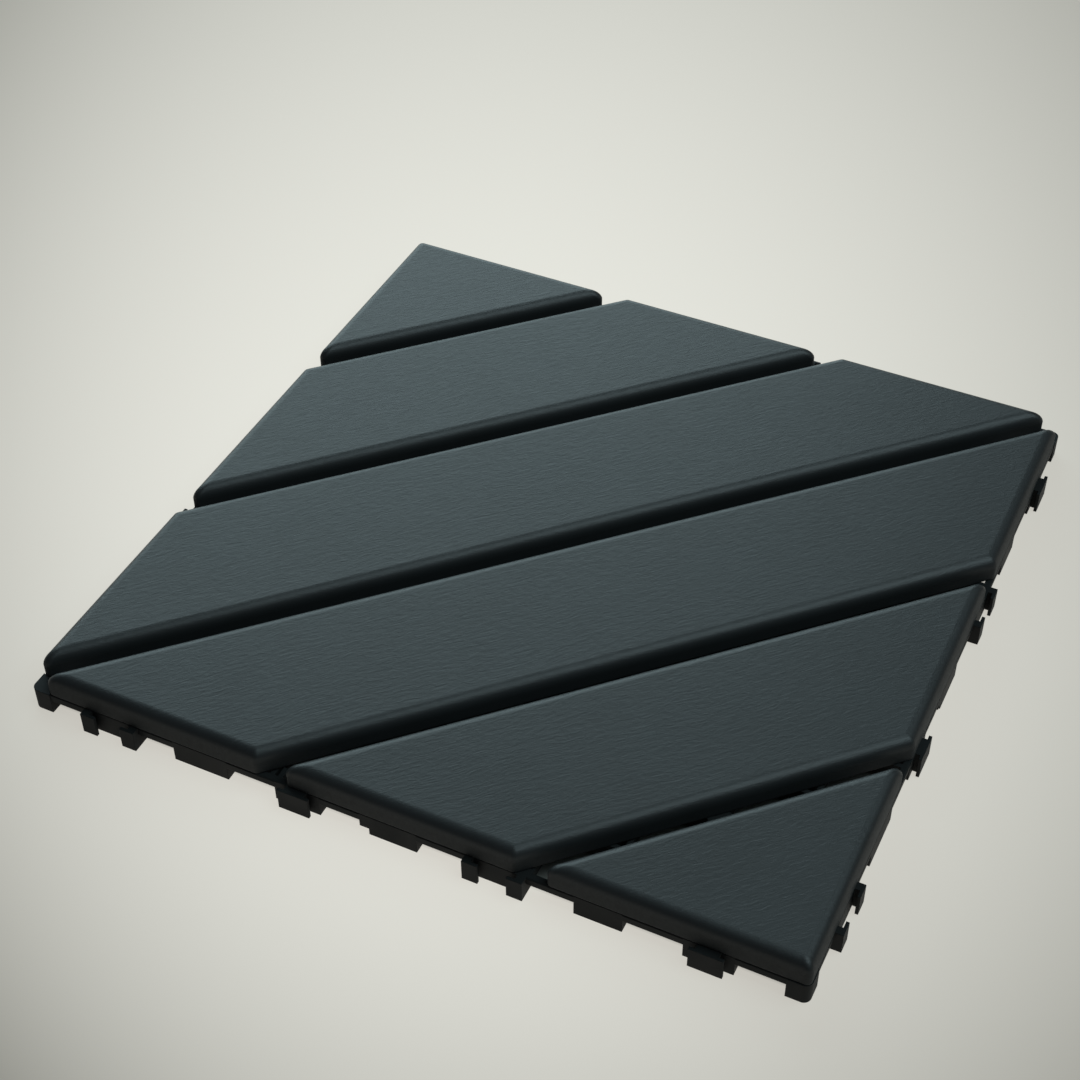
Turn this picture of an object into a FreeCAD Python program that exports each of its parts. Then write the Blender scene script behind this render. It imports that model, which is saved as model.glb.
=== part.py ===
import FreeCAD, Part
import math
import os
import Sketcher

# Interlocking deck tile, in millimetres. Six hollow plastic slats lie diagonally on a one-piece
# moulded grid and are screwed to it from below. +Z is up, the floor is z = 0 and the origin is
# the middle of the tile on the floor. The slats run from the -X -Y corner to the +X +Y corner.

document = FreeCAD.newDocument("deck_tile")


# Driving sizes

SIZES = {
    # the whole tile
    "tile_size": 300.0,
    "base_height": 9.2,
    # slats
    "slat_height": 9.8,
    "slat_gap": 6.2,
    "slat_wall": 2.0,
    "slat_top_wall": 2.4,
    "shoulder_radius": 4.5,
    "tip_radius": 2.0,
    "slat_foot_chamfer": 0.4,
    "stiffener_wall": 1.5,
    "stiffener_lift": 1.0,
    "slat_boss_radius": 4.0,
    "pilot_depth": 7.0,
    # rim and lattice of the base grid
    "rim_wall": 2.6,
    "rim_depth": 3.2,
    "rim_chamfer": 0.5,
    "rib_wall": 1.8,
    "rib_depth": 5.5,
    "cross_rib_step": 0.5,
    # round feet and screw tubes of the base grid
    "foot_radius": 5.0,
    "foot_bore_radius": 3.2,
    "foot_cap": 2.0,
    "tube_radius": 6.2,
    "head_seat": 4.7,
    # upright feet along the edges and at the corners
    "edge_foot_wall": 2.0,
    "edge_foot_depth": 7.0,
    "first_foot_place": -78.2,
    "first_foot_width": 22.4,
    "second_foot_place": -0.8,
    "second_foot_width": 18.6,
    "third_foot_place": 76.2,
    "third_foot_width": 17.6,
    "step_width": 3.6,
    "step_bottom": 3.0,
    "post_width": 8.2,
    "post_round": 2.8,
    "post_proud": 0.3,
    # links: T-shaped blocks that drop between the hook pairs of the next tile
    "link_spacing": 77.0,
    "link_reach": 3.0,
    "link_lip": 1.2,
    "block_head_width": 12.2,
    "block_neck_width": 8.2,
    "block_back_width": 18.0,
    "neck_clearance": 1.3,
    "head_clearance": 2.1,
    "hook_wall": 3.1,
    # self-tapping screws
    "screw_core_radius": 1.4,
    "screw_length": 10.5,
    "screw_tip_length": 2.0,
    "screw_tip_radius": 0.35,
    "screw_head_radius": 3.4,
    "screw_head_height": 2.2,
    "screw_head_round": 0.9,
    "slot_width": 0.9,
    "slot_length": 4.0,
    "slot_depth": 1.2,
    "shank_clearance": 0.5,
    "pilot_clearance": 0.05,
    "recess_clearance": 0.8,
}

sheet = document.addObject("Spreadsheet::Sheet", "Sizes")
for row, (alias, value) in enumerate(SIZES.items(), start=1):
    address = "B" + str(row)
    sheet.set("A" + str(row), alias.replace("_", " "))
    sheet.set(address, str(value))
    sheet.setAlias(address, alias)
document.recompute()


# Sizes that follow from the driving ones

HALF_TILE = "Sizes.tile_size / 2"
HALF_DIAGONAL = "Sizes.tile_size / sqrt(2)"
SLATS_PER_HALF = 3
CELLS = 12
SIDES = 4
FULL_TURN = 360
BASE_TOP = "Sizes.base_height"
SLAT_HOLLOW = "(Sizes.slat_height - Sizes.slat_top_wall)"
FOOT_BORE_TOP = "Sizes.base_height - Sizes.foot_cap"
HOOK_GAP = "(Sizes.block_neck_width / 2 + Sizes.neck_clearance)"
HOOK_CAVITY = "(Sizes.block_head_width / 2 + Sizes.head_clearance)"
HOOK_SPAN = "(" + HOOK_CAVITY + " + Sizes.hook_wall)"
SHANK_HOLE = "Sizes.screw_core_radius + Sizes.shank_clearance"
PILOT_HOLE = "Sizes.screw_core_radius + Sizes.pilot_clearance"
HEAD_RECESS = "Sizes.screw_head_radius + Sizes.recess_clearance"

# Screws of one half of the tile, as steps of a grid cell along and across the slats.
SCREW_ROWS = {
    "long": {"across": 2, "along": (-8, -4, 0, 4, 8)},
    "short": {"across": 6, "along": (-4, 0, 4)},
    "corner": {"across": 9, "along": (-1, 1)},
}


# Drawing helpers

# Two heights or places that differ by less than this are the same.
TOUCH = 1e-6


def origin_feature(body, role):
    """Return the body's own origin plane or axis of that role."""
    for feature in body.Origin.OriginFeatures:
        if feature.Role == role:
            return feature


def new_sketch(body, name, level="0"):
    """Make a sketch that lies flat at a height of the body."""
    sketch = body.newObject("Sketcher::SketchObject", name)
    sketch.AttachmentSupport = [(origin_feature(body, "XY_Plane"), "")]
    sketch.MapMode = "FlatFace"
    sketch.setExpression("AttachmentOffset.Base.z", level)
    return sketch


def tie(sketch, kind, *target, to):
    """Add a dimension to a sketch and bind it to an expression."""
    index = sketch.addConstraint(Sketcher.Constraint(kind, *target, 1.0))
    sketch.setExpression("Constraints[" + str(index) + "]", to)


def tie_point(sketch, geometry, point, place):
    """Fix a point by its distances from the sketch origin."""
    tie(sketch, "DistanceX", -1, 1, geometry, point, to=place[0])
    tie(sketch, "DistanceY", -1, 1, geometry, point, to=place[1])


def draw_outline(sketch, corners):
    """Draw a closed outline of straight lines through the corners, each a pair of expressions."""
    count = len(corners)
    first = sketch.GeometryCount
    turn = 2 * math.pi / count
    start = [FreeCAD.Vector(math.cos(i * turn), math.sin(i * turn), 0) for i in range(count)]
    for i in range(count):
        sketch.addGeometry(Part.LineSegment(start[i], start[(i + 1) % count]))
    for i in range(count):
        following = first + (i + 1) % count
        sketch.addConstraint(Sketcher.Constraint("Coincident", first + i, 2, following, 1))
    for i in range(count):
        tie_point(sketch, first + i, 1, corners[i])


def draw_rectangle(sketch, left, bottom, right, top):
    """Draw an upright rectangle."""
    draw_outline(sketch, [(left, bottom), (right, bottom), (right, top), (left, top)])


def draw_circle(sketch, centre, radius):
    """Draw a circle."""
    index = sketch.addGeometry(Part.Circle(FreeCAD.Vector(0, 0, 0), FreeCAD.Vector(0, 0, 1), 1.0))
    tie_point(sketch, index, 3, centre)
    tie(sketch, "Radius", index, to=radius)


def pad(body, sketch, height):
    """Raise the sketch upwards by a height."""
    feature = body.newObject("PartDesign::Pad", sketch.Name + "_pad")
    feature.Profile = sketch
    feature.setExpression("Length", height)
    document.recompute()
    return feature


def pocket(body, sketch, depth):
    """Cut the sketch upwards into the body, from the sketch's own height."""
    before = body.Shape.Volume
    feature = body.newObject("PartDesign::Pocket", sketch.Name + "_pocket")
    feature.Profile = sketch
    feature.Reversed = True
    feature.setExpression("Length", depth)
    document.recompute()
    if not body.Shape.Volume < before:
        raise ValueError(sketch.Label + " cuts nothing")
    return feature


def dress(body, kind, size_name, size, edge_test):
    """Round or chamfer the edges of the body's tip that pass the test."""
    base = body.Tip
    edges = ["Edge" + str(i) for i, edge in enumerate(base.Shape.Edges, start=1) if edge_test(edge)]
    feature = body.newObject(kind, base.Name + "_edges")
    feature.Base = (base, edges)
    feature.setExpression(size_name, size)
    document.recompute()
    return feature


def edge_is_upright(edge):
    """Tell whether an edge runs straight up."""
    low = edge.Vertexes[0].Point
    high = edge.Vertexes[-1].Point
    return math.hypot(low.x - high.x, low.y - high.y) < TOUCH and abs(low.z - high.z) > TOUCH


def edge_is_at(edge, height):
    """Tell whether an edge lies flat at a height."""
    box = edge.BoundBox
    return abs(box.ZMin - height) < TOUCH and abs(box.ZMax - height) < TOUCH


def at_height(height):
    """Return the test for edges that lie flat at a height."""
    return lambda edge: edge_is_at(edge, height)


# Slats

def slat_sides(kind):
    """Return the near and far side of a slat, as distances from the tile's diagonal."""
    number = list(SCREW_ROWS).index(kind)
    near = "(" + HALF_DIAGONAL + " * %d / %d + Sizes.slat_gap / 2)" % (number, SLATS_PER_HALF)
    far = "(" + HALF_DIAGONAL + " * %d / %d - Sizes.slat_gap / 2)" % (number + 1, SLATS_PER_HALF)
    return near, far


def slat_corners(kind, inset):
    """Return the corners of a slat's plan, all edges moved inwards by an inset."""
    near, far = slat_sides(kind)
    reach = "(" + HALF_DIAGONAL + " - sqrt(2) * " + inset + ")"
    near = "(" + near + " + " + inset + ")"
    far = "(" + far + " - " + inset + ")"
    corners = [("-(" + reach + " - " + near + ")", near), (reach + " - " + near, near)]
    if kind == "corner":
        return corners + [("0", reach)]
    return corners + [(reach + " - " + far, far), ("-(" + reach + " - " + far + ")", far)]


def screw_places(kind):
    """Return the screws of one slat, in the slat's own plan."""
    row = SCREW_ROWS[kind]
    across = HALF_DIAGONAL + " * %d / %d" % (row["across"], CELLS)
    return [(HALF_DIAGONAL + " * %d / %d" % (along, CELLS), across) for along in row["along"]]


def make_slat(kind, number, turn):
    """Mould one hollow slat: rounded shoulders, open underside, stiffeners and screw bosses."""
    name = "%s_slat_%d" % (kind, number)
    body = document.addObject("PartDesign::Body", name)
    body.Label = name

    plan = new_sketch(body, name + "_plan")
    draw_outline(plan, slat_corners(kind, "0"))
    pad(body, plan, "Sizes.slat_height")
    dress(body, "PartDesign::Fillet", "Radius", "Sizes.tip_radius", edge_is_upright)
    top = sheet.get("slat_height")
    dress(body, "PartDesign::Fillet", "Radius", "Sizes.shoulder_radius", at_height(top))
    dress(body, "PartDesign::Chamfer", "Size", "Sizes.slat_foot_chamfer", at_height(0))

    hollow = new_sketch(body, name + "_hollow")
    draw_outline(hollow, slat_corners(kind, "Sizes.slat_wall"))
    pocket(body, hollow, SLAT_HOLLOW)

    add_stiffeners(body, name, kind)

    bosses = new_sketch(body, name + "_bosses")
    for place in screw_places(kind):
        draw_circle(bosses, place, "Sizes.slat_boss_radius")
    pad(body, bosses, SLAT_HOLLOW)
    pilots = new_sketch(body, name + "_pilots")
    for place in screw_places(kind):
        draw_circle(pilots, place, PILOT_HOLE)
    pocket(body, pilots, "Sizes.pilot_depth")

    upright = FreeCAD.Vector(0, 0, 1)
    body.Placement = FreeCAD.Placement(FreeCAD.Vector(0, 0, 0), FreeCAD.Rotation(upright, turn))
    body.setExpression("Placement.Base.z", BASE_TOP)
    return body


def add_stiffeners(body, name, kind):
    """Add the thin walls under a slat's top: one along it and one across it at each screw."""
    near, far = slat_sides(kind)
    height = SLAT_HOLLOW + " - Sizes.stiffener_lift"
    half = "Sizes.stiffener_wall / 2"
    middle_of_wall = "Sizes.slat_wall / 2"
    reach = "(" + HALF_DIAGONAL + " - sqrt(2) * " + middle_of_wall + ")"
    line = screw_places(kind)[0][1]
    low = "(" + line + " - " + half + ")"
    high = "(" + line + " + " + half + ")"

    spine = new_sketch(body, name + "_spine", "Sizes.stiffener_lift")
    draw_outline(spine, [
        ("-(" + reach + " - " + low + ")", low),
        (reach + " - " + low, low),
        (reach + " - " + high, high),
        ("-(" + reach + " - " + high + ")", high),
    ])
    pad(body, spine, height)

    crosses = new_sketch(body, name + "_crosses", "Sizes.stiffener_lift")
    for along, across in screw_places(kind):
        left = along + " - " + half
        right = along + " + " + half
        bottom = near + " + " + middle_of_wall
        if kind == "corner":
            draw_rectangle(crosses, left, bottom, right, across)
        else:
            draw_rectangle(crosses, left, bottom, right, far + " - " + middle_of_wall)
    pad(body, crosses, height)


# Base grid

def cell(steps):
    """Return a distance of some grid cells from the middle of the tile."""
    return "Sizes.tile_size * %d / %d" % (steps, CELLS)


def screw_nodes():
    """Return every screw's place on the grid, in cells from the middle of the tile."""
    nodes = []
    for row in SCREW_ROWS.values():
        for along in row["along"]:
            x = (along - row["across"]) // 2
            y = (along + row["across"]) // 2
            nodes += [(x, y), (-x, -y)]
    return nodes


def foot_nodes():
    """Return the places of the round feet: every second crossing of the ribs, each way."""
    steps = range(2 - CELLS // 2, CELLS // 2 - 1, 2)
    return [(x, y) for x in steps for y in steps]


def make_rib(name, steps, runs_along_x):
    """Make one rib of the lattice, from rim to rim. Those along Y are a step shallower, each way."""
    rib = document.addObject("Part::Box", name)
    run = "Sizes.tile_size - Sizes.rim_wall"
    start = "(Sizes.rim_wall - Sizes.tile_size) / 2"
    side = cell(steps) + " - Sizes.rib_wall / 2"
    step = "0" if runs_along_x else "Sizes.cross_rib_step"
    rib.setExpression("Length", run if runs_along_x else "Sizes.rib_wall")
    rib.setExpression("Width", "Sizes.rib_wall" if runs_along_x else run)
    rib.setExpression("Height", "Sizes.rib_depth - 2 * " + step)
    rib.setExpression("Placement.Base.x", start if runs_along_x else side)
    rib.setExpression("Placement.Base.y", side if runs_along_x else start)
    rib.setExpression("Placement.Base.z", BASE_TOP + " - Sizes.rib_depth + " + step)
    return rib


def make_post(name, node, radius, height):
    """Make a round post that stands on the floor at a crossing of the lattice."""
    post = document.addObject("Part::Cylinder", name)
    post.setExpression("Radius", radius)
    post.setExpression("Height", height)
    post.setExpression("Placement.Base.x", cell(node[0]))
    post.setExpression("Placement.Base.y", cell(node[1]))
    return post


def join(name, shapes):
    """Fuse several document objects into one."""
    joined = document.addObject("Part::MultiFuse", name)
    joined.Shapes = shapes
    joined.Refine = False
    return joined


def shifted(points, centre):
    """Move an edge piece's outline to its place on the -Y side of the tile."""
    return [("(" + centre + ") + " + x, y + " - " + HALF_TILE) for x, y in points]


def channel_back(half_width):
    """Return the inner half of an upright foot's outline: two cheeks behind a wall."""
    wall = "Sizes.edge_foot_wall"
    depth = "Sizes.edge_foot_depth"
    inner = "(" + half_width + " - " + wall + ")"
    return [
        (half_width, depth),
        (inner, depth),
        (inner, wall),
        ("-" + inner, wall),
        ("-" + inner, depth),
        ("-" + half_width, depth),
    ]


def block_outline():
    """Return the plan of a T-shaped block with its upright foot."""
    head = "Sizes.block_head_width / 2"
    neck = "Sizes.block_neck_width / 2"
    back = "(Sizes.block_back_width / 2)"
    outer = "-Sizes.link_reach"
    lip = "-Sizes.link_reach + Sizes.link_lip"
    front = [(head, outer), (head, lip), (neck, lip), (neck, "0"), (back, "0")]
    mirrored = [("-" + x, y) for x, y in reversed(front)]
    return front + channel_back(back) + mirrored


def hook_outline():
    """Return the plan of a pair of hooks with the wall between them."""
    outer = "-Sizes.link_reach"
    lip = "-Sizes.link_reach + Sizes.link_lip"
    socket = [(HOOK_GAP, outer), (HOOK_GAP, lip), (HOOK_CAVITY, lip), (HOOK_CAVITY, "0")]
    mirrored = [("-" + x, y) for x, y in socket]
    hooks = [(HOOK_SPAN, outer)] + channel_back(HOOK_SPAN) + [("-" + HOOK_SPAN, outer)]
    return hooks + mirrored + socket[::-1]


def foot_outline(width):
    """Return the plan of a plain upright foot."""
    half = "(" + width + " / 2)"
    return [(half, "0")] + channel_back(half) + [("-" + half, "0")]


def link_place(steps):
    """Return the place of a link along an edge, in half spacings from its middle."""
    return "Sizes.link_spacing * %d / 2" % steps


def add_rim(body):
    """Add the rim that closes the lattice, with its upper outer edge eased."""
    rim = new_sketch(body, "rim", BASE_TOP + " - Sizes.rim_depth")
    outside = HALF_TILE
    inside = "(" + HALF_TILE + " - Sizes.rim_wall)"
    draw_rectangle(rim, "-" + outside, "-" + outside, outside, outside)
    draw_rectangle(rim, "-" + inside, "-" + inside, inside, inside)
    pad(body, rim, "Sizes.rim_depth")
    top = sheet.get("base_height")
    half_tile = sheet.get("tile_size") / 2

    def is_outer_top_edge(edge):
        box = edge.BoundBox
        reach = max(abs(box.XMin), abs(box.XMax), abs(box.YMin), abs(box.YMax))
        return edge_is_at(edge, top) and abs(reach - half_tile) < TOUCH

    dress(body, "PartDesign::Chamfer", "Size", "Sizes.rim_chamfer", is_outer_top_edge)


def add_edge_pieces(body):
    """Add the hooks, blocks, feet and corner post of one side and repeat them on all four."""
    hooks = new_sketch(body, "hooks")
    for steps in (-3, 1):
        draw_outline(hooks, shifted(hook_outline(), link_place(steps)))
    blocks = new_sketch(body, "blocks")
    for steps in (-1, 3):
        draw_outline(blocks, shifted(block_outline(), link_place(steps)))
    feet = new_sketch(body, "edge_feet")
    for order in ("first", "second", "third"):
        place = "Sizes." + order + "_foot_place"
        draw_outline(feet, shifted(foot_outline("Sizes." + order + "_foot_width"), place))
    pads = [pad(body, sketch, BASE_TOP) for sketch in (hooks, blocks, feet)]

    step = new_sketch(body, "foot_step", "Sizes.step_bottom")
    step_right = "(Sizes.second_foot_place - Sizes.second_foot_width / 2)"
    draw_rectangle(
        step,
        step_right + " - Sizes.step_width",
        "-" + HALF_TILE,
        step_right + " + Sizes.edge_foot_wall / 2",
        "Sizes.edge_foot_wall - " + HALF_TILE,
    )
    pads.append(pad(body, step, BASE_TOP + " - Sizes.step_bottom"))

    post = new_sketch(body, "corner_post")
    post_outside = "-(" + HALF_TILE + " + Sizes.post_proud)"
    post_inside = "Sizes.post_width - " + HALF_TILE + " - Sizes.post_proud"
    draw_rectangle(post, post_outside, post_outside, post_inside, post_inside)
    pads.append(pad(body, post, BASE_TOP))

    sides = body.newObject("PartDesign::PolarPattern", "four_sides")
    sides.Originals = pads
    sides.Axis = (origin_feature(body, "Z_Axis"), [""])
    sides.Angle = FULL_TURN
    sides.Occurrences = SIDES
    body.Tip = sides
    document.recompute()
    corner = sheet.get("tile_size") / 2 + sheet.get("post_proud")

    def is_post_corner(edge):
        box = edge.BoundBox
        off = abs(min(abs(box.XMin), abs(box.YMin)) - corner)
        return edge_is_upright(edge) and off < TOUCH

    dress(body, "PartDesign::Fillet", "Radius", "Sizes.post_round", is_post_corner)


def make_base_grid():
    """Mould the base grid in one piece: edge frame, lattice, round feet and screw tubes."""
    frame = document.addObject("PartDesign::Body", "edge_frame")
    add_rim(frame)
    add_edge_pieces(frame)

    solids = [frame]
    for steps in range(1 - CELLS // 2, CELLS // 2):
        solids.append(make_rib("rib_along_x", steps, True))
        solids.append(make_rib("rib_along_y", steps, False))
    hollows = []
    for node in foot_nodes():
        solids.append(make_post("foot", node, "Sizes.foot_radius", BASE_TOP))
        hollows.append(make_post("foot_bore", node, "Sizes.foot_bore_radius", FOOT_BORE_TOP))
    for node in screw_nodes():
        solids.append(make_post("screw_tube", node, "Sizes.tube_radius", BASE_TOP))
        hollows.append(make_post("head_recess", node, HEAD_RECESS, "Sizes.head_seat"))
        hollows.append(make_post("shank_hole", node, SHANK_HOLE, BASE_TOP))

    grid = document.addObject("Part::Cut", "base_grid")
    grid.Label = "base_grid"
    grid.Base = join("grid_solids", solids)
    grid.Tool = join("grid_hollows", hollows)
    grid.Refine = True
    document.recompute()
    return grid


# Screws

def make_screw():
    """Make one self-tapping screw with a cross slot, head down, its seat at z = 0."""
    head = document.addObject("Part::Cylinder", "screw_head")
    head.setExpression("Radius", "Sizes.screw_head_radius")
    head.setExpression("Height", "Sizes.screw_head_height")
    head.setExpression("Placement.Base.z", "-Sizes.screw_head_height")
    shank = document.addObject("Part::Cylinder", "screw_shank")
    shank.setExpression("Radius", "Sizes.screw_core_radius")
    shank.setExpression("Height", "Sizes.screw_length - Sizes.screw_tip_length")
    tip = document.addObject("Part::Cone", "screw_tip")
    tip.setExpression("Radius1", "Sizes.screw_core_radius")
    tip.setExpression("Radius2", "Sizes.screw_tip_radius")
    tip.setExpression("Height", "Sizes.screw_tip_length")
    tip.setExpression("Placement.Base.z", "Sizes.screw_length - Sizes.screw_tip_length")
    document.recompute()

    rounded = document.addObject("Part::Fillet", "screw_head_rounded")
    rounded.Base = head
    round_size = sheet.get("screw_head_round")
    bottom = -sheet.get("screw_head_height")
    numbered = enumerate(head.Shape.Edges, start=1)
    rounded.Edges = [(i, round_size, round_size) for i, edge in numbered if edge_is_at(edge, bottom)]

    solid = document.addObject("Part::MultiFuse", "screw_solid")
    solid.Shapes = [rounded, shank, tip]
    slots = document.addObject("Part::MultiFuse", "screw_slots")
    slots.Shapes = [
        make_slot("screw_slot_x", "length", "width"),
        make_slot("screw_slot_y", "width", "length"),
    ]
    screw = document.addObject("Part::Cut", "screw")
    screw.Base = solid
    screw.Tool = slots
    document.recompute()
    return screw


def make_slot(name, along_x, along_y):
    """Make one bar of the cross slot in the screw's head."""
    bar = document.addObject("Part::Box", name)
    bar.setExpression("Length", "Sizes.slot_" + along_x)
    bar.setExpression("Width", "Sizes.slot_" + along_y)
    bar.setExpression("Height", "Sizes.slot_depth")
    bar.setExpression("Placement.Base.x", "-Sizes.slot_" + along_x + " / 2")
    bar.setExpression("Placement.Base.y", "-Sizes.slot_" + along_y + " / 2")
    bar.setExpression("Placement.Base.z", "-Sizes.screw_head_height")
    return bar


def make_slat_screws():
    """Put one screw up through each tube of the grid, its head on the seat in the tube."""
    screw = make_screw()
    step = sheet.get("tile_size") / CELLS
    seat = sheet.get("head_seat")
    copies = []
    for x, y in screw_nodes():
        copy = screw.Shape.copy()
        copy.translate(FreeCAD.Vector(x * step, y * step, seat))
        copies.append(copy)
    screws = document.addObject("Part::Feature", "slat_screws")
    screws.Label = "slat_screws"
    screws.Shape = Part.makeCompound(copies)
    return screws


# Build, check and write

HALF_TURN = FULL_TURN / 2
SLAT_TURN = 45

pieces = [make_base_grid()]
for slat_kind in SCREW_ROWS:
    for slat_number in (1, 2):
        slat_turn = SLAT_TURN + HALF_TURN * (slat_number - 1)
        pieces.append(make_slat(slat_kind, slat_number, slat_turn))
pieces.append(make_slat_screws())
document.recompute()

for item in document.Objects:
    if "Invalid" in item.State or "Error" in item.State:
        raise ValueError(item.Label + " failed")

os.makedirs("parts", exist_ok=True)
for piece in pieces:
    shape = piece.Shape
    if shape.isNull() or not shape.isValid():
        raise ValueError(piece.Label + " has no valid shape")
    box = shape.BoundBox
    print(piece.Label, len(shape.Solids), "solids", round(shape.Volume), "mm3", box)
    shape.exportStep("parts/" + piece.Label + ".step")
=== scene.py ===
import math

import bmesh
import bpy
from mathutils import Matrix, Vector


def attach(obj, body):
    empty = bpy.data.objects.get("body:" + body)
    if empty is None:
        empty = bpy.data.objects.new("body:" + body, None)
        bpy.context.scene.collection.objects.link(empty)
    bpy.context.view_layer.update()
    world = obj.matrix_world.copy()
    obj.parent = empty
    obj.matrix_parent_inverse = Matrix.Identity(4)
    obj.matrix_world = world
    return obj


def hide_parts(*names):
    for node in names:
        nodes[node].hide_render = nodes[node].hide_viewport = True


# Interlocking deck tile: six hollow charcoal slats lie diagonally on a black moulded grid and are
# screwed to it from below. Everything is in metres, +Z is up and the floor is z = 0.

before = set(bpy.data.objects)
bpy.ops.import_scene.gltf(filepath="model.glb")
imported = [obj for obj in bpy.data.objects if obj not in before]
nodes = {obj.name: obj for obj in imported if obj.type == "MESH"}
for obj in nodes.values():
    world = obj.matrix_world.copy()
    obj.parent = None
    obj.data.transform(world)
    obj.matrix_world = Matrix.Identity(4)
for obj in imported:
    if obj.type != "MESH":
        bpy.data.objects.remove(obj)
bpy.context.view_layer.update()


# Slats
# Six hollow mouldings of charcoal plastic. The mould gives their tops a fine wood grain that runs
# along each slat, and a satin finish. Each is held by screws that come up through the base.

SLATS = [
    "long_slat_1", "long_slat_2", "short_slat_1", "short_slat_2", "corner_slat_1", "corner_slat_2",
]
SLAT_DIRECTION = math.radians(45)
SLAT_EDGE_ROUNDING = 0.0008
CHARCOAL_DARK = (0.0050, 0.0067, 0.0073, 1)
CHARCOAL_LIGHT = (0.0080, 0.0105, 0.0115, 1)
GRAIN_HEIGHT = 0.00012
GRAIN_BEND = 0.003
RIPPLE_STRETCH = (0.34, 1.0, 0.5)
LINE_STRETCH = (0.05, 1.0, 0.5)
LINE_SHARE = 0.4
SATIN_ROUGHNESS = (0.52, 0.44)
SIDE_DULLNESS = 0.32


def new_material(name):
    """Start a node material and return its tree and its main shader."""
    material = bpy.data.materials.new(name)
    material.use_nodes = True
    tree = material.node_tree
    return material, tree, tree.nodes["Principled BSDF"]


def add_node(tree, kind, **values):
    """Add a node and set its named inputs, each to a value or by a link from a socket."""
    node = tree.nodes.new(kind)
    for name, value in values.items():
        if isinstance(value, bpy.types.NodeSocket):
            tree.links.new(value, node.inputs[name])
        else:
            node.inputs[name].default_value = value
    return node


def add_math(tree, operation, first, second):
    """Combine two numbers, each a socket or a value."""
    node = tree.nodes.new("ShaderNodeMath")
    node.operation = operation
    for socket, value in zip(node.inputs, (first, second)):
        if isinstance(value, bpy.types.NodeSocket):
            tree.links.new(value, socket)
        else:
            socket.default_value = value
    return node.outputs[0]


def add_ramp(tree, factor, low, high, low_colour, high_colour):
    """Turn a number into a colour between two others."""
    node = tree.nodes.new("ShaderNodeValToRGB")
    tree.links.new(factor, node.inputs["Fac"])
    node.color_ramp.elements[0].position = low
    node.color_ramp.elements[0].color = low_colour
    node.color_ramp.elements[1].position = high
    node.color_ramp.elements[1].color = high_colour
    return node.outputs["Color"]


def add_range(tree, value, from_low, from_high, to_low, to_high):
    """Map a number from one range to another."""
    node = tree.nodes.new("ShaderNodeMapRange")
    tree.links.new(value, node.inputs["Value"])
    node.inputs["From Min"].default_value = from_low
    node.inputs["From Max"].default_value = from_high
    node.inputs["To Min"].default_value = to_low
    node.inputs["To Max"].default_value = to_high
    return node.outputs["Result"]


def make_slat_plastic():
    """Charcoal plastic with a fine moulded wood grain along the slats."""
    material, tree, shader = new_material("charcoal_slat_plastic")
    place = tree.nodes.new("ShaderNodeTexCoord").outputs["Object"]

    # long waves bend the grain lines slightly
    along = add_node(tree, "ShaderNodeMapping", Vector=place, Rotation=(0, 0, -SLAT_DIRECTION))
    waves = add_node(tree, "ShaderNodeTexNoise", Vector=along.outputs[0], Scale=28.0, Detail=2.0)
    wave_size = add_range(tree, waves.outputs["Fac"], 0, 1, -GRAIN_BEND, GRAIN_BEND)
    shift = add_node(tree, "ShaderNodeCombineXYZ", Y=wave_size)
    bent = tree.nodes.new("ShaderNodeVectorMath")
    tree.links.new(along.outputs[0], bent.inputs[0])
    tree.links.new(shift.outputs[0], bent.inputs[1])

    # short wavy ripples, about 4 mm long and 1 mm wide, and finer, longer lines between them
    stretched = add_node(tree, "ShaderNodeMapping", Vector=bent.outputs[0], Scale=RIPPLE_STRETCH)
    ripples = add_node(
        tree, "ShaderNodeTexNoise", Vector=stretched.outputs[0], Scale=760.0, Detail=3.0,
        Roughness=0.6, Distortion=0.7,
    )
    fine = add_node(tree, "ShaderNodeMapping", Vector=bent.outputs[0], Scale=LINE_STRETCH)
    lines = add_node(
        tree, "ShaderNodeTexNoise", Vector=fine.outputs[0], Scale=1500.0, Detail=2.0, Roughness=0.5
    )
    faint_lines = add_math(tree, "MULTIPLY", lines.outputs["Fac"], LINE_SHARE)
    grain = add_math(tree, "ADD", ripples.outputs["Fac"], faint_lines)

    # only the faces that look up have the grain
    facing = tree.nodes.new("ShaderNodeSeparateXYZ")
    tree.links.new(tree.nodes.new("ShaderNodeNewGeometry").outputs["Normal"], facing.inputs[0])
    upward = add_range(tree, facing.outputs["Z"], 0.3, 0.9, 0.0, 1.0)

    mottle = add_node(tree, "ShaderNodeTexNoise", Vector=place, Scale=35.0, Detail=3.0)
    tone = add_math(tree, "ADD", add_math(tree, "MULTIPLY", grain, 0.5), mottle.outputs["Fac"])
    colour = add_ramp(tree, tone, 0.55, 1.5, CHARCOAL_DARK, CHARCOAL_LIGHT)
    tree.links.new(colour, shader.inputs["Base Color"])

    # the grained tops are satin, the plain sides duller
    shader.inputs["Specular IOR Level"].default_value = 0.5
    satin = add_range(tree, grain, 0.4, 1.0, *SATIN_ROUGHNESS)
    dull = add_range(tree, facing.outputs["Z"], 0.6, 0.0, 0.0, SIDE_DULLNESS)
    tree.links.new(add_math(tree, "ADD", satin, dull), shader.inputs["Roughness"])
    rounding = add_node(tree, "ShaderNodeBevel", Radius=SLAT_EDGE_ROUNDING)
    rounding.samples = 6
    bump = add_node(
        tree, "ShaderNodeBump", Height=grain, Distance=GRAIN_HEIGHT, Strength=upward,
        Normal=rounding.outputs[0],
    )
    tree.links.new(bump.outputs[0], shader.inputs["Normal"])
    return material


slat_plastic = make_slat_plastic()
for name in SLATS:
    nodes[name].material_slots[0].material = slat_plastic


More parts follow.
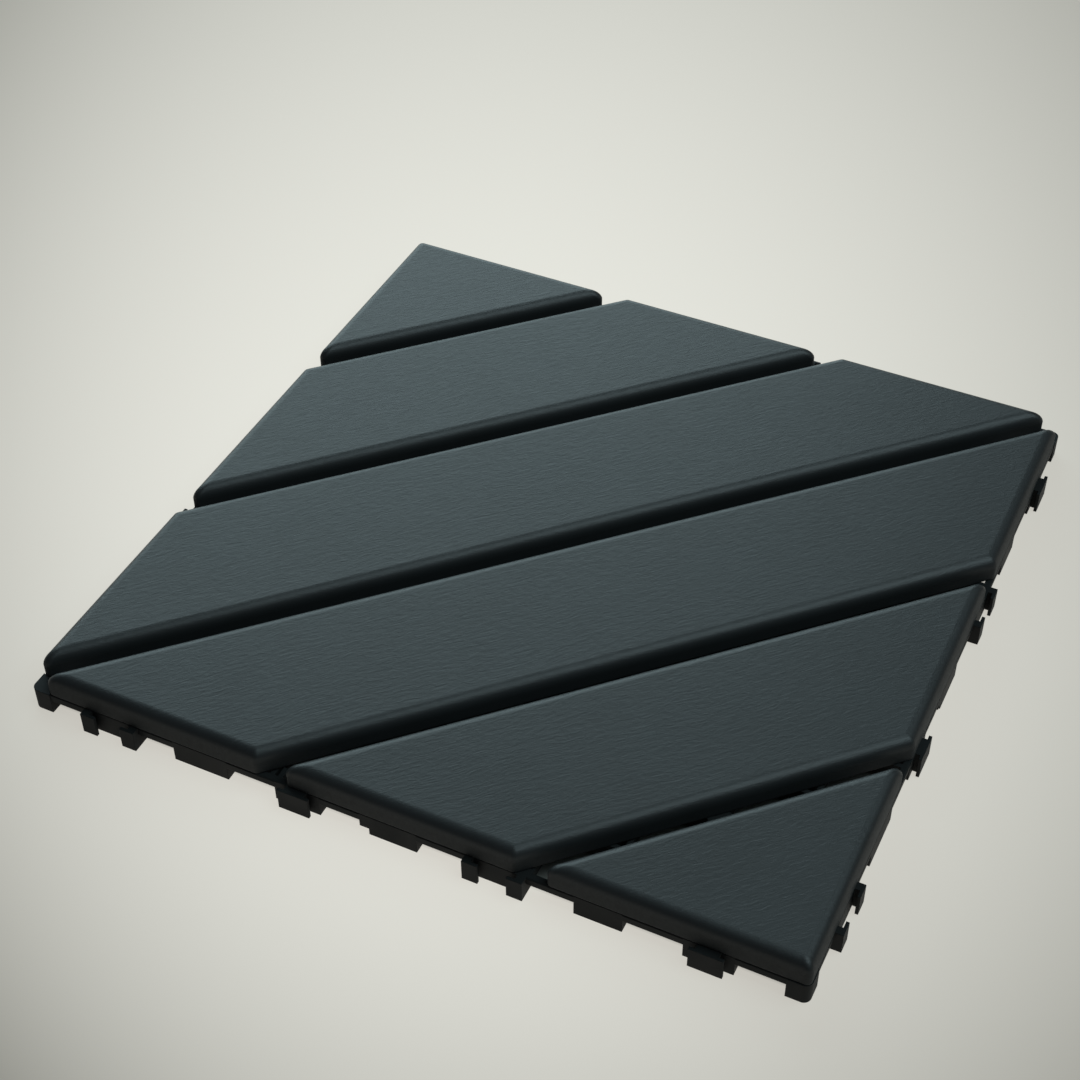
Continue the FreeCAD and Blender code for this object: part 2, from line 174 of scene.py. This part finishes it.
# Base grid
# One black moulding: a lattice of ribs on round feet, closed by a rim, with upright feet, hook
# pairs and T-shaped blocks along its edges. Its skin is slightly grained and duller than the slats.

BASE_BLACK = (0.0045, 0.0054, 0.0056, 1)
BASE_GREY = (0.0085, 0.0100, 0.0104, 1)
BASE_ROUGHNESS = (0.62, 0.74)
BASE_EDGE_ROUNDING = 0.0004
SPARK_HEIGHT = 0.00005


def make_base_plastic():
    """Black recycled plastic with a fine spark grain and faint flow marks."""
    material, tree, shader = new_material("black_base_plastic")
    place = tree.nodes.new("ShaderNodeTexCoord").outputs["Object"]
    flow = add_node(tree, "ShaderNodeTexNoise", Vector=place, Scale=45.0, Detail=4.0, Distortion=0.8)
    spark = add_node(tree, "ShaderNodeTexNoise", Vector=place, Scale=2600.0, Detail=2.0)
    colour = add_ramp(tree, flow.outputs["Fac"], 0.35, 0.7, BASE_BLACK, BASE_GREY)
    tree.links.new(colour, shader.inputs["Base Color"])
    dullness = add_range(tree, flow.outputs["Fac"], 0.3, 0.7, *BASE_ROUGHNESS)
    tree.links.new(dullness, shader.inputs["Roughness"])
    shader.inputs["Specular IOR Level"].default_value = 0.2
    rounding = add_node(tree, "ShaderNodeBevel", Radius=BASE_EDGE_ROUNDING)
    rounding.samples = 6
    bump = add_node(
        tree, "ShaderNodeBump", Height=spark.outputs["Fac"], Distance=SPARK_HEIGHT, Strength=0.6,
        Normal=rounding.outputs[0],
    )
    tree.links.new(bump.outputs[0], shader.inputs["Normal"])
    return material


nodes["base_grid"].material_slots[0].material = make_base_plastic()


# Slat screws
# Twenty zinc plated self-tapping screws with a pan head and a cross recess. Each stands head down
# on the seat in its tube of the base and bites into the boss of the slat above.

SCREW_SEAT = 0.0047
CORE_RADIUS = 0.0014
THREAD_RADIUS = 0.0018
THREAD_PITCH = 0.0014
SCREW_LENGTH = 0.0105
TIP_LENGTH = 0.002
HEAD_RADIUS = 0.0034
HEAD_HEIGHT = 0.0022
SCREW_CELL = 0.025
SCREW_SIDES = 36
HEAD_STEPS = 8
THREAD_STEPS = 60
TURN_SEED = 4
ZINC_DARK = (0.42, 0.43, 0.44, 1)
ZINC_LIGHT = (0.60, 0.61, 0.62, 1)
SCREW_ROWS = {2: (-8, -4, 0, 4, 8), 6: (-4, 0, 4), 9: (-1, 1)}


def screw_rows():
    """Return the rows of the screw's skin from the bottom of its head up: height, radius, thread."""
    rows = [(-HEAD_HEIGHT, 0.0, 0), (-HEAD_HEIGHT, HEAD_RADIUS * 0.7, 0)]
    for i in range(1, HEAD_STEPS + 1):
        turn = math.pi / 2 * i / HEAD_STEPS
        rows.append((
            -HEAD_HEIGHT + HEAD_HEIGHT * 0.6 * (1 - math.cos(turn)),
            HEAD_RADIUS * (0.7 + 0.3 * math.sin(turn)),
            0,
        ))
    rows += [(-0.0001, HEAD_RADIUS, 0), (0.0, HEAD_RADIUS - 0.0001, 0), (0.0, CORE_RADIUS, 0)]
    for i in range(1, THREAD_STEPS + 1):
        height = SCREW_LENGTH * i / THREAD_STEPS
        to_tip = min(1.0, (SCREW_LENGTH - height) / TIP_LENGTH)
        rows.append((height, max(0.0, CORE_RADIUS * to_tip), min(1.0, height / 0.001) * to_tip))
    return rows


def make_screw_mesh():
    """Skin the rows round the screw's axis, with the thread as a ridge that climbs round it."""
    mesh = bmesh.new()
    rings = []
    for height, radius, thread in screw_rows():
        if radius == 0.0:
            rings.append([mesh.verts.new((0, 0, height))])
            continue
        ring = []
        for i in range(SCREW_SIDES):
            angle = 2 * math.pi * i / SCREW_SIDES
            phase = (height / THREAD_PITCH - i / SCREW_SIDES) % 1.0
            ridge = max(0.0, 1 - abs(phase - 0.5) / 0.28)
            reach = radius + thread * ridge * (THREAD_RADIUS - CORE_RADIUS)
            ring.append(mesh.verts.new((reach * math.cos(angle), reach * math.sin(angle), height)))
        rings.append(ring)
    for lower, upper in zip(rings, rings[1:]):
        for i in range(SCREW_SIDES):
            j = (i + 1) % SCREW_SIDES
            if len(lower) == 1:
                mesh.faces.new((lower[0], upper[j], upper[i]))
            elif len(upper) == 1:
                mesh.faces.new((lower[i], lower[j], upper[0]))
            else:
                mesh.faces.new((lower[i], lower[j], upper[j], upper[i]))
    data = bpy.data.meshes.new("screw")
    mesh.to_mesh(data)
    mesh.free()
    return data


def make_recess_mesh():
    """Make the tapered cross that the driver's recess is cut with."""
    mesh = bmesh.new()
    mouth = -HEAD_HEIGHT - 0.0002
    floor_level = -HEAD_HEIGHT + 0.0013
    for turned in (False, True):
        corners = []
        for level, length, width in ((mouth, 0.0042, 0.00105), (floor_level, 0.0018, 0.0007)):
            for sx, sy in ((-1, -1), (1, -1), (1, 1), (-1, 1)):
                x = sx * length / 2
                y = sy * width / 2
                corners.append(mesh.verts.new((-y, x, level) if turned else (x, y, level)))
        low = corners[:4]
        high = corners[4:]
        mesh.faces.new(low[::-1])
        mesh.faces.new(high)
        for i in range(4):
            j = (i + 1) % 4
            mesh.faces.new((low[i], low[j], high[j], high[i]))
    data = bpy.data.meshes.new("recess")
    mesh.to_mesh(data)
    mesh.free()
    return data


def place_object(name, data):
    """Link a mesh to the scene under a name."""
    thing = bpy.data.objects.new(name, data)
    bpy.context.scene.collection.objects.link(thing)
    return thing


def finished_mesh(thing, name):
    """Return the mesh of an object with its modifiers applied, and delete the object."""
    bpy.context.view_layer.update()
    evaluated = thing.evaluated_get(bpy.context.evaluated_depsgraph_get())
    data = bpy.data.meshes.new_from_object(evaluated)
    data.name = name
    bpy.data.objects.remove(thing)
    return data


def make_screw():
    """Make one screw, with the cross recess cut into its head."""
    screw = place_object("one_screw", make_screw_mesh())
    cutter = place_object("recess_cutter", make_recess_mesh())
    cut = screw.modifiers.new("recess", "BOOLEAN")
    cut.object = cutter
    cut.solver = "EXACT"
    cut.use_self = True
    data = finished_mesh(screw, "screw_with_recess")
    bpy.data.objects.remove(cutter)
    for face in data.polygons:
        face.use_smooth = True
    data.set_sharp_from_angle(angle=math.radians(35))
    return place_object("screw_pattern", data)


def make_screw_steel():
    """Zinc plated steel: cool grey, slightly cloudy, with fine turning marks."""
    material, tree, shader = new_material("zinc_plated_steel")
    place = tree.nodes.new("ShaderNodeTexCoord").outputs["Object"]
    cloud = add_node(tree, "ShaderNodeTexNoise", Vector=place, Scale=600.0, Detail=3.0)
    colour = add_ramp(tree, cloud.outputs["Fac"], 0.3, 0.7, ZINC_DARK, ZINC_LIGHT)
    tree.links.new(colour, shader.inputs["Base Color"])
    shine = add_range(tree, cloud.outputs["Fac"], 0.3, 0.7, 0.42, 0.26)
    tree.links.new(shine, shader.inputs["Roughness"])
    shader.inputs["Metallic"].default_value = 1.0
    marks = add_node(tree, "ShaderNodeTexNoise", Vector=place, Scale=4200.0, Detail=1.0)
    bump = add_node(
        tree, "ShaderNodeBump", Height=marks.outputs["Fac"], Distance=0.00002, Strength=0.4
    )
    tree.links.new(bump.outputs[0], shader.inputs["Normal"])
    return material


def screw_places():
    """Return the seat of every screw: rows beside the diagonal, mirrored to its other side."""
    places = []
    for across, steps in SCREW_ROWS.items():
        for along in steps:
            x = (along - across) // 2 * SCREW_CELL
            y = (along + across) // 2 * SCREW_CELL
            places += [(x, y, SCREW_SEAT), (-x, -y, SCREW_SEAT)]
    return places


def make_screw_tree(pattern, material):
    """Build the geometry nodes that put a screw on each point, each turned by its own angle."""
    tree = bpy.data.node_groups.new("screws_on_seats", "GeometryNodeTree")
    tree.interface.new_socket("Seats", in_out="INPUT", socket_type="NodeSocketGeometry")
    pattern_socket = tree.interface.new_socket("Screw", in_out="INPUT", socket_type="NodeSocketObject")
    seed_socket = tree.interface.new_socket("Turn seed", in_out="INPUT", socket_type="NodeSocketInt")
    tree.interface.new_socket("Screws", in_out="OUTPUT", socket_type="NodeSocketGeometry")
    start = tree.nodes.new("NodeGroupInput")
    end = tree.nodes.new("NodeGroupOutput")
    screw = tree.nodes.new("GeometryNodeObjectInfo")
    turn = tree.nodes.new("FunctionNodeRandomValue")
    turn.data_type = "FLOAT_VECTOR"
    turn.inputs["Min"].default_value = (0, 0, 0)
    turn.inputs["Max"].default_value = (0, 0, 2 * math.pi)
    instances = tree.nodes.new("GeometryNodeInstanceOnPoints")
    realized = tree.nodes.new("GeometryNodeRealizeInstances")
    finish = tree.nodes.new("GeometryNodeSetMaterial")
    finish.inputs["Material"].default_value = material
    tree.links.new(start.outputs["Seats"], instances.inputs["Points"])
    tree.links.new(start.outputs["Screw"], screw.inputs["Object"])
    tree.links.new(start.outputs["Turn seed"], turn.inputs["Seed"])
    tree.links.new(screw.outputs["Geometry"], instances.inputs["Instance"])
    tree.links.new(turn.outputs["Value"], instances.inputs["Rotation"])
    tree.links.new(instances.outputs[0], realized.inputs[0])
    tree.links.new(realized.outputs[0], finish.inputs["Geometry"])
    tree.links.new(finish.outputs[0], end.inputs[0])
    return tree, {pattern_socket.identifier: pattern, seed_socket.identifier: TURN_SEED}


screw_steel = make_screw_steel()
one_screw = make_screw()
seats = bpy.data.meshes.new("screw_seats")
seats.from_pydata(screw_places(), [], [])
seated = place_object("screws_on_seats", seats)
screw_tree, screw_inputs = make_screw_tree(one_screw, screw_steel)
layout = seated.modifiers.new("seats", "NODES")
layout.node_group = screw_tree
for identifier, value in screw_inputs.items():
    layout[identifier] = value
screws = place_object("self_tapping_screws", finished_mesh(seated, "self_tapping_screws"))
bpy.data.objects.remove(one_screw)
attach(screws, "root")
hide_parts("slat_screws")


# Floor
# A plain pale studio floor under the tile. It is not part of the object. Its pale field is a
# painted pool of light: an ellipse that fades evenly outwards into painted shade and is narrower
# towards the front.

# the floor's colour in the middle of its painted pool of light, and at its edge in painted shade
FLOOR_PALE = (0.945, 0.914, 0.836, 1)
FLOOR_FALLOFF_SHADE = (0.300, 0.290, 0.256, 1)
FLOOR_HALF = 4.0
PALE_CENTRE = (-0.044, -0.008, 0.0)
PALE_TURN = math.radians(29)
PALE_REACH = (0.324, 0.519, 1.0)
# between these two y the field's width grows from the third number to the fourth
PALE_WIDENING = (-0.80, 4.0, 0.066, 5.73)
SHADED_SHARE = 0.22
GLOW_SHARE = 0.755
# the glow rises between these distances from the tile's middle, measured along x or y; inside them
# there is no glow, a painted shadow under the tile
TILE_SHADE = (0.142, 0.147)


def make_floor_paper():
    """Pale paper with a painted pool of light that darkens far from the tile, and a glow of its own,
    left out under the tile as a painted shadow.
    """
    material, tree, shader = new_material("studio_paper")
    place = tree.nodes.new("ShaderNodeTexCoord").outputs["Object"]
    centred = tree.nodes.new("ShaderNodeMapping")
    centred.vector_type = "TEXTURE"
    centred.inputs["Location"].default_value = PALE_CENTRE
    centred.inputs["Rotation"].default_value = (0, 0, PALE_TURN)
    centred.inputs["Scale"].default_value = PALE_REACH
    tree.links.new(place, centred.inputs["Vector"])
    sides = tree.nodes.new("ShaderNodeSeparateXYZ")
    tree.links.new(place, sides.inputs[0])
    widening = add_range(tree, sides.outputs["Y"], *PALE_WIDENING)
    narrowed = tree.nodes.new("ShaderNodeVectorMath")
    narrowed.operation = "SCALE"
    tree.links.new(centred.outputs[0], narrowed.inputs[0])
    tree.links.new(add_math(tree, "DIVIDE", 1.0, widening), narrowed.inputs["Scale"])
    squared = tree.nodes.new("ShaderNodeVectorMath")
    squared.operation = "DOT_PRODUCT"
    tree.links.new(narrowed.outputs[0], squared.inputs[0])
    tree.links.new(narrowed.outputs[0], squared.inputs[1])
    # painted pool of light: pale in the middle, fading to painted shade outwards
    pale = add_ramp(tree, squared.outputs["Value"], 0.0, 1.0, FLOOR_PALE, FLOOR_FALLOFF_SHADE)

    shaded = tree.nodes.new("ShaderNodeVectorMath")
    shaded.operation = "SCALE"
    shaded.inputs["Scale"].default_value = SHADED_SHARE
    tree.links.new(pale, shaded.inputs[0])
    tree.links.new(shaded.outputs[0], shader.inputs["Base Color"])

    # the glow is there for the camera and in reflections, and lights nothing
    rays = tree.nodes.new("ShaderNodeLightPath")
    glossy = rays.outputs["Is Glossy Ray"]
    mirrored = add_math(tree, "MAXIMUM", glossy, rays.outputs["Is Transmission Ray"])
    seen = add_math(tree, "MAXIMUM", rays.outputs["Is Camera Ray"], mirrored)
    tree.links.new(pale, shader.inputs["Emission Color"])
    # no glow under the tile: a painted shadow where the tile shades the floor
    across = add_math(tree, "ABSOLUTE", sides.outputs["X"], 0.0)
    along = add_math(tree, "ABSOLUTE", sides.outputs["Y"], 0.0)
    beside = add_range(tree, add_math(tree, "MAXIMUM", across, along), *TILE_SHADE, 0.0, GLOW_SHARE)
    tree.links.new(add_math(tree, "MULTIPLY", seen, beside), shader.inputs["Emission Strength"])
    shader.inputs["Roughness"].default_value = 0.9
    shader.inputs["Specular IOR Level"].default_value = 0.0
    return material


floor_mesh = bpy.data.meshes.new("studio_floor")
floor_corners = [(-FLOOR_HALF, -FLOOR_HALF, 0), (FLOOR_HALF, -FLOOR_HALF, 0),
                 (FLOOR_HALF, FLOOR_HALF, 0), (-FLOOR_HALF, FLOOR_HALF, 0)]
floor_mesh.from_pydata(floor_corners, [], [(0, 1, 2, 3)])
floor_mesh.materials.append(make_floor_paper())
floor = place_object("studio_floor", floor_mesh)


# Light
# A low soft light behind and to the left skims the slats, a high one at the right lights their
# shoulders, and the room is dim, so the edges that face the camera stay dark.

COOL_WHITE = (0.71, 0.93, 0.98)
ROOM_WHITE = (0.95, 0.97, 1.0, 1)
ROOM_STRENGTH = 0.10


def add_area_light(name, place, size, power):
    """Hang a square soft light at a place, turned towards the tile."""
    data = bpy.data.lights.new(name, "AREA")
    data.shape = "SQUARE"
    data.size = size
    data.energy = power
    data.color = COOL_WHITE
    light = bpy.data.objects.new(name, data)
    light.location = place
    light.rotation_euler = (-Vector(place)).to_track_quat("-Z", "Y").to_euler()
    bpy.context.scene.collection.objects.link(light)


add_area_light("skimming_light", (-1.01, 1.29, 0.75), size=1.72, power=24.5)
add_area_light("high_light", (1.20, 0.25, 2.3), size=1.9, power=36.0)

room = bpy.data.worlds.new("studio_room")
room.use_nodes = True
bpy.context.scene.world = room
background = room.node_tree.nodes["Background"]
background.inputs["Color"].default_value = ROOM_WHITE
background.inputs["Strength"].default_value = ROOM_STRENGTH


# Camera
# It looks down on the tile from the front, a little to the right.

LENS = 66.46
CAMERA_PLACE = Vector((0.23269, -0.51287, 0.54396))
CAMERA_TARGET = Vector((-0.01221, -0.00938, 0.019))
CAMERA_ROLL = math.radians(-0.452)

camera_data = bpy.data.cameras.new("camera")
camera_data.sensor_width = 36
camera_data.lens = LENS
camera_data.clip_start = 0.01
camera = bpy.data.objects.new("camera", camera_data)
bpy.context.scene.collection.objects.link(camera)
looking = (CAMERA_TARGET - CAMERA_PLACE).to_track_quat("-Z", "Y").to_matrix().to_4x4()
camera.matrix_world = Matrix.Translation(CAMERA_PLACE) @ looking @ Matrix.Rotation(CAMERA_ROLL, 4, "Z")
bpy.context.scene.camera = camera

bpy.context.scene.view_settings.view_transform = "Standard"
